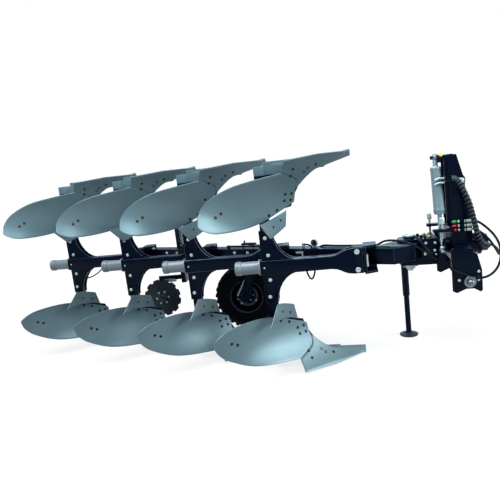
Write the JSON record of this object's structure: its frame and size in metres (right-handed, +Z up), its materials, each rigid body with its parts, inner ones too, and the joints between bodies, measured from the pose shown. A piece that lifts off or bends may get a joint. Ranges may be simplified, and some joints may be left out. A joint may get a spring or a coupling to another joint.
{
  "type": "mounted reversible plough",
  "caption": "Mounted reversible mouldboard plough with turnover head, staggered bodies, depth wheel, disc coulters and three-point headstock.",
  "frame": {"origin": "on the ground, at the centre of the bounding box measured without the hoses", "axes": "+X forward along the travel, +Y to the land side, away from the viewer of the picture, +Z up"},
  "size_m": [5.1588, 2.053, 2.0229],
  "materials": {
    "frame_paint": "glossy",
    "board_paint": "satin",
    "reset_paint": "satin",
    "cylinder_paint": "satin",
    "zinc_pin": "satin",
    "chrome_rod": "polished",
    "rim_paint": "satin",
    "tyre": "matte",
    "disc_steel": "satin",
    "hose": "satin"
  },
  "bodies": {
    "headstock": {"headstock_frame": "frame_paint", "lower_link_shaft": "zinc_pin", "hose_bundle": "hose", "hose_green": "hose", "hose_red": "hose"},
    "top_pin": {"top_link_pin": "zinc_pin"},
    "screw_right": {"stop_screw_right": "zinc_pin"},
    "screw_left": {"stop_screw_left": "zinc_pin"},
    "cylinder": {"turnover_cylinder_barrel": "cylinder_paint"},
    "rod": {"turnover_cylinder_rod": "chrome_rod"},
    "head": {"turnover_head": "frame_paint", "hose_head": "hose"},
    "stand": {"stand_leg": "frame_paint"},
    "beam": {"main_beam": "frame_paint", "coulter_bracket": "frame_paint"},
    "arm_1_group": {"arm_1": "frame_paint", "reset_cylinder_1": "reset_paint", "leg_lower_1": "frame_paint", "leg_upper_1": "frame_paint", "mouldboard_lower_1": "board_paint", "mouldboard_upper_1": "board_paint", "share_lower_1": "board_paint", "share_upper_1": "board_paint", "trash_board_lower_1": "board_paint", "trash_board_upper_1": "board_paint"},
    "arm_2_group": {"arm_2": "frame_paint", "reset_cylinder_2": "reset_paint", "leg_lower_2": "frame_paint", "leg_upper_2": "frame_paint", "mouldboard_lower_2": "board_paint", "mouldboard_upper_2": "board_paint", "share_lower_2": "board_paint", "share_upper_2": "board_paint", "trash_board_lower_2": "board_paint", "trash_board_upper_2": "board_paint"},
    "arm_3_group": {"arm_3": "frame_paint", "reset_cylinder_3": "reset_paint", "leg_lower_3": "frame_paint", "leg_upper_3": "frame_paint", "mouldboard_lower_3": "board_paint", "mouldboard_upper_3": "board_paint", "share_lower_3": "board_paint", "share_upper_3": "board_paint", "trash_board_lower_3": "board_paint", "trash_board_upper_3": "board_paint"},
    "arm_4_group": {"arm_4": "frame_paint", "reset_cylinder_4": "reset_paint", "leg_lower_4": "frame_paint", "leg_upper_4": "frame_paint", "mouldboard_lower_4": "board_paint", "mouldboard_upper_4": "board_paint", "share_lower_4": "board_paint", "share_upper_4": "board_paint", "trash_board_lower_4": "board_paint", "trash_board_upper_4": "board_paint"},
    "wheel_carrier": {"wheel_arm": "frame_paint"},
    "wheel": {"wheel_rim": "rim_paint", "tyre": "tyre"},
    "disc_lower": {"coulter_disc_lower": "disc_steel"},
    "disc_upper": {"coulter_disc_upper": "disc_steel"}
  },
  "joints": [
    {"name": "turnover", "type": "hinge", "parent": "headstock", "child": "head", "pos_m": [2.30676, -0.07424, 1.01145], "axis": [1, 0, 0], "range_deg": [-180, 0]},
    {"name": "beam_angle", "type": "hinge", "parent": "head", "child": "beam", "pos_m": [1.81676, -0.07424, 1.01145], "axis": [0, 0, 1], "range_deg": [-3, 3]},
    {"name": "stand_slide", "type": "slide", "parent": "head", "child": "stand", "axis": [0, 0, 1], "range_m": [0, 0.32]},
    {"name": "arm_1_trip", "type": "hinge", "parent": "beam", "child": "arm_1_group", "pos_m": [1.31076, -0.40424, 1.09545], "axis": [0, 1, 0], "range_deg": [0, 18], "stiffness_Nm_per_rad": 9000, "springref_deg": -51.57},
    {"name": "arm_2_trip", "type": "hinge", "parent": "beam", "child": "arm_2_group", "pos_m": [0.46076, -0.04424, 1.09545], "axis": [0, 1, 0], "range_deg": [0, 18], "stiffness_Nm_per_rad": 9000, "springref_deg": -51.57},
    {"name": "arm_3_trip", "type": "hinge", "parent": "beam", "child": "arm_3_group", "pos_m": [-0.38924, 0.31576, 1.09545], "axis": [0, 1, 0], "range_deg": [0, 18], "stiffness_Nm_per_rad": 9000, "springref_deg": -51.57},
    {"name": "arm_4_trip", "type": "hinge", "parent": "beam", "child": "arm_4_group", "pos_m": [-1.23924, 0.67576, 1.09545], "axis": [0, 1, 0], "range_deg": [0, 18], "stiffness_Nm_per_rad": 9000, "springref_deg": -51.57},
    {"name": "wheel_swing", "type": "hinge", "parent": "beam", "child": "wheel_carrier", "pos_m": [0.20176, 0.53776, 1.01145], "axis": [0, 1, 0], "range_deg": [-212, 0]},
    {"name": "wheel_spin", "type": "hinge", "parent": "wheel_carrier", "child": "wheel", "pos_m": [0.02176, 0.72576, 0.44945], "axis": [0, 1, 0], "continuous": true},
    {"name": "disc_lower_spin", "type": "hinge", "parent": "beam", "child": "disc_lower", "pos_m": [-1.08324, 0.84576, 0.45545], "axis": [0, 1, 0], "continuous": true},
    {"name": "disc_upper_spin", "type": "hinge", "parent": "beam", "child": "disc_upper", "pos_m": [-1.08324, 0.84576, 1.56745], "axis": [0, 1, 0], "continuous": true},
    {"name": "rod_slide", "type": "slide", "parent": "cylinder", "child": "rod", "axis": [0, -0.1652, -0.9863], "range_m": [-0.1516, 0]},
    {"name": "cylinder_swing", "type": "hinge", "parent": "headstock", "child": "cylinder", "pos_m": [2.09576, -0.07424, 1.84745], "axis": [1, 0, 0], "range_deg": [0, 9.53]},
    {"name": "top_pin_slide", "type": "slide", "parent": "headstock", "child": "top_pin", "axis": [0, 1, 0], "range_m": [0, 0.26]},
    {"name": "stop_right_adjust", "type": "slide", "parent": "headstock", "child": "screw_right", "axis": [0, 0, 1], "range_m": [0, 0.06]},
    {"name": "stop_left_adjust", "type": "slide", "parent": "headstock", "child": "screw_left", "axis": [0, 0, 1], "range_m": [0, 0.06]}
  ],
  "couplings": [
    {"joint": "cylinder_swing", "follows": "rod_slide", "rad_per_m": -1.0942}
  ]
}
